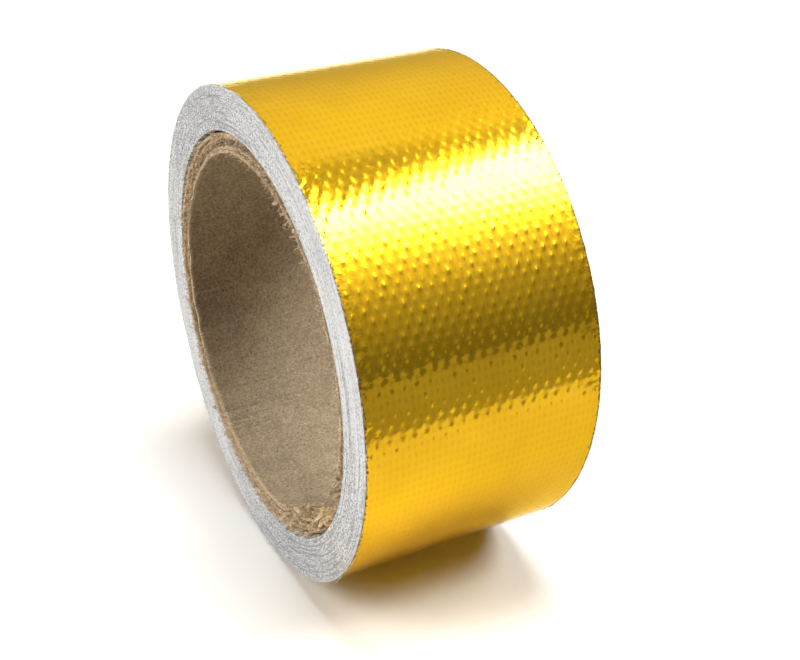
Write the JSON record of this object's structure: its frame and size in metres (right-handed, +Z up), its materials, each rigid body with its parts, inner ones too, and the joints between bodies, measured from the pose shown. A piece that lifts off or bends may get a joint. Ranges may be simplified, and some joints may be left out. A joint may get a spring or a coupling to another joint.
{
  "type": "roll of reflective heat tape",
  "caption": "Roll of gold faced glass cloth heat tape wound on a paperboard core, standing on its rim, for wrapping pipes and panels near exhaust heat.",
  "frame": {"origin": "on the floor, under the middle of the roll as it stands on its rim", "axes": "+Y along the roll's axis, away from the end that the picture shows; +Z up; +X completes the right-handed frame"},
  "size_m": [0.104, 0.05, 0.104],
  "materials": {
    "gold_tape": "gloss",
    "tape_edge": "matte",
    "paperboard": "matte"
  },
  "bodies": {
    "root": {"tape_winding": "gold_tape", "cardboard_core": "paperboard"}
  },
  "joints": []
}
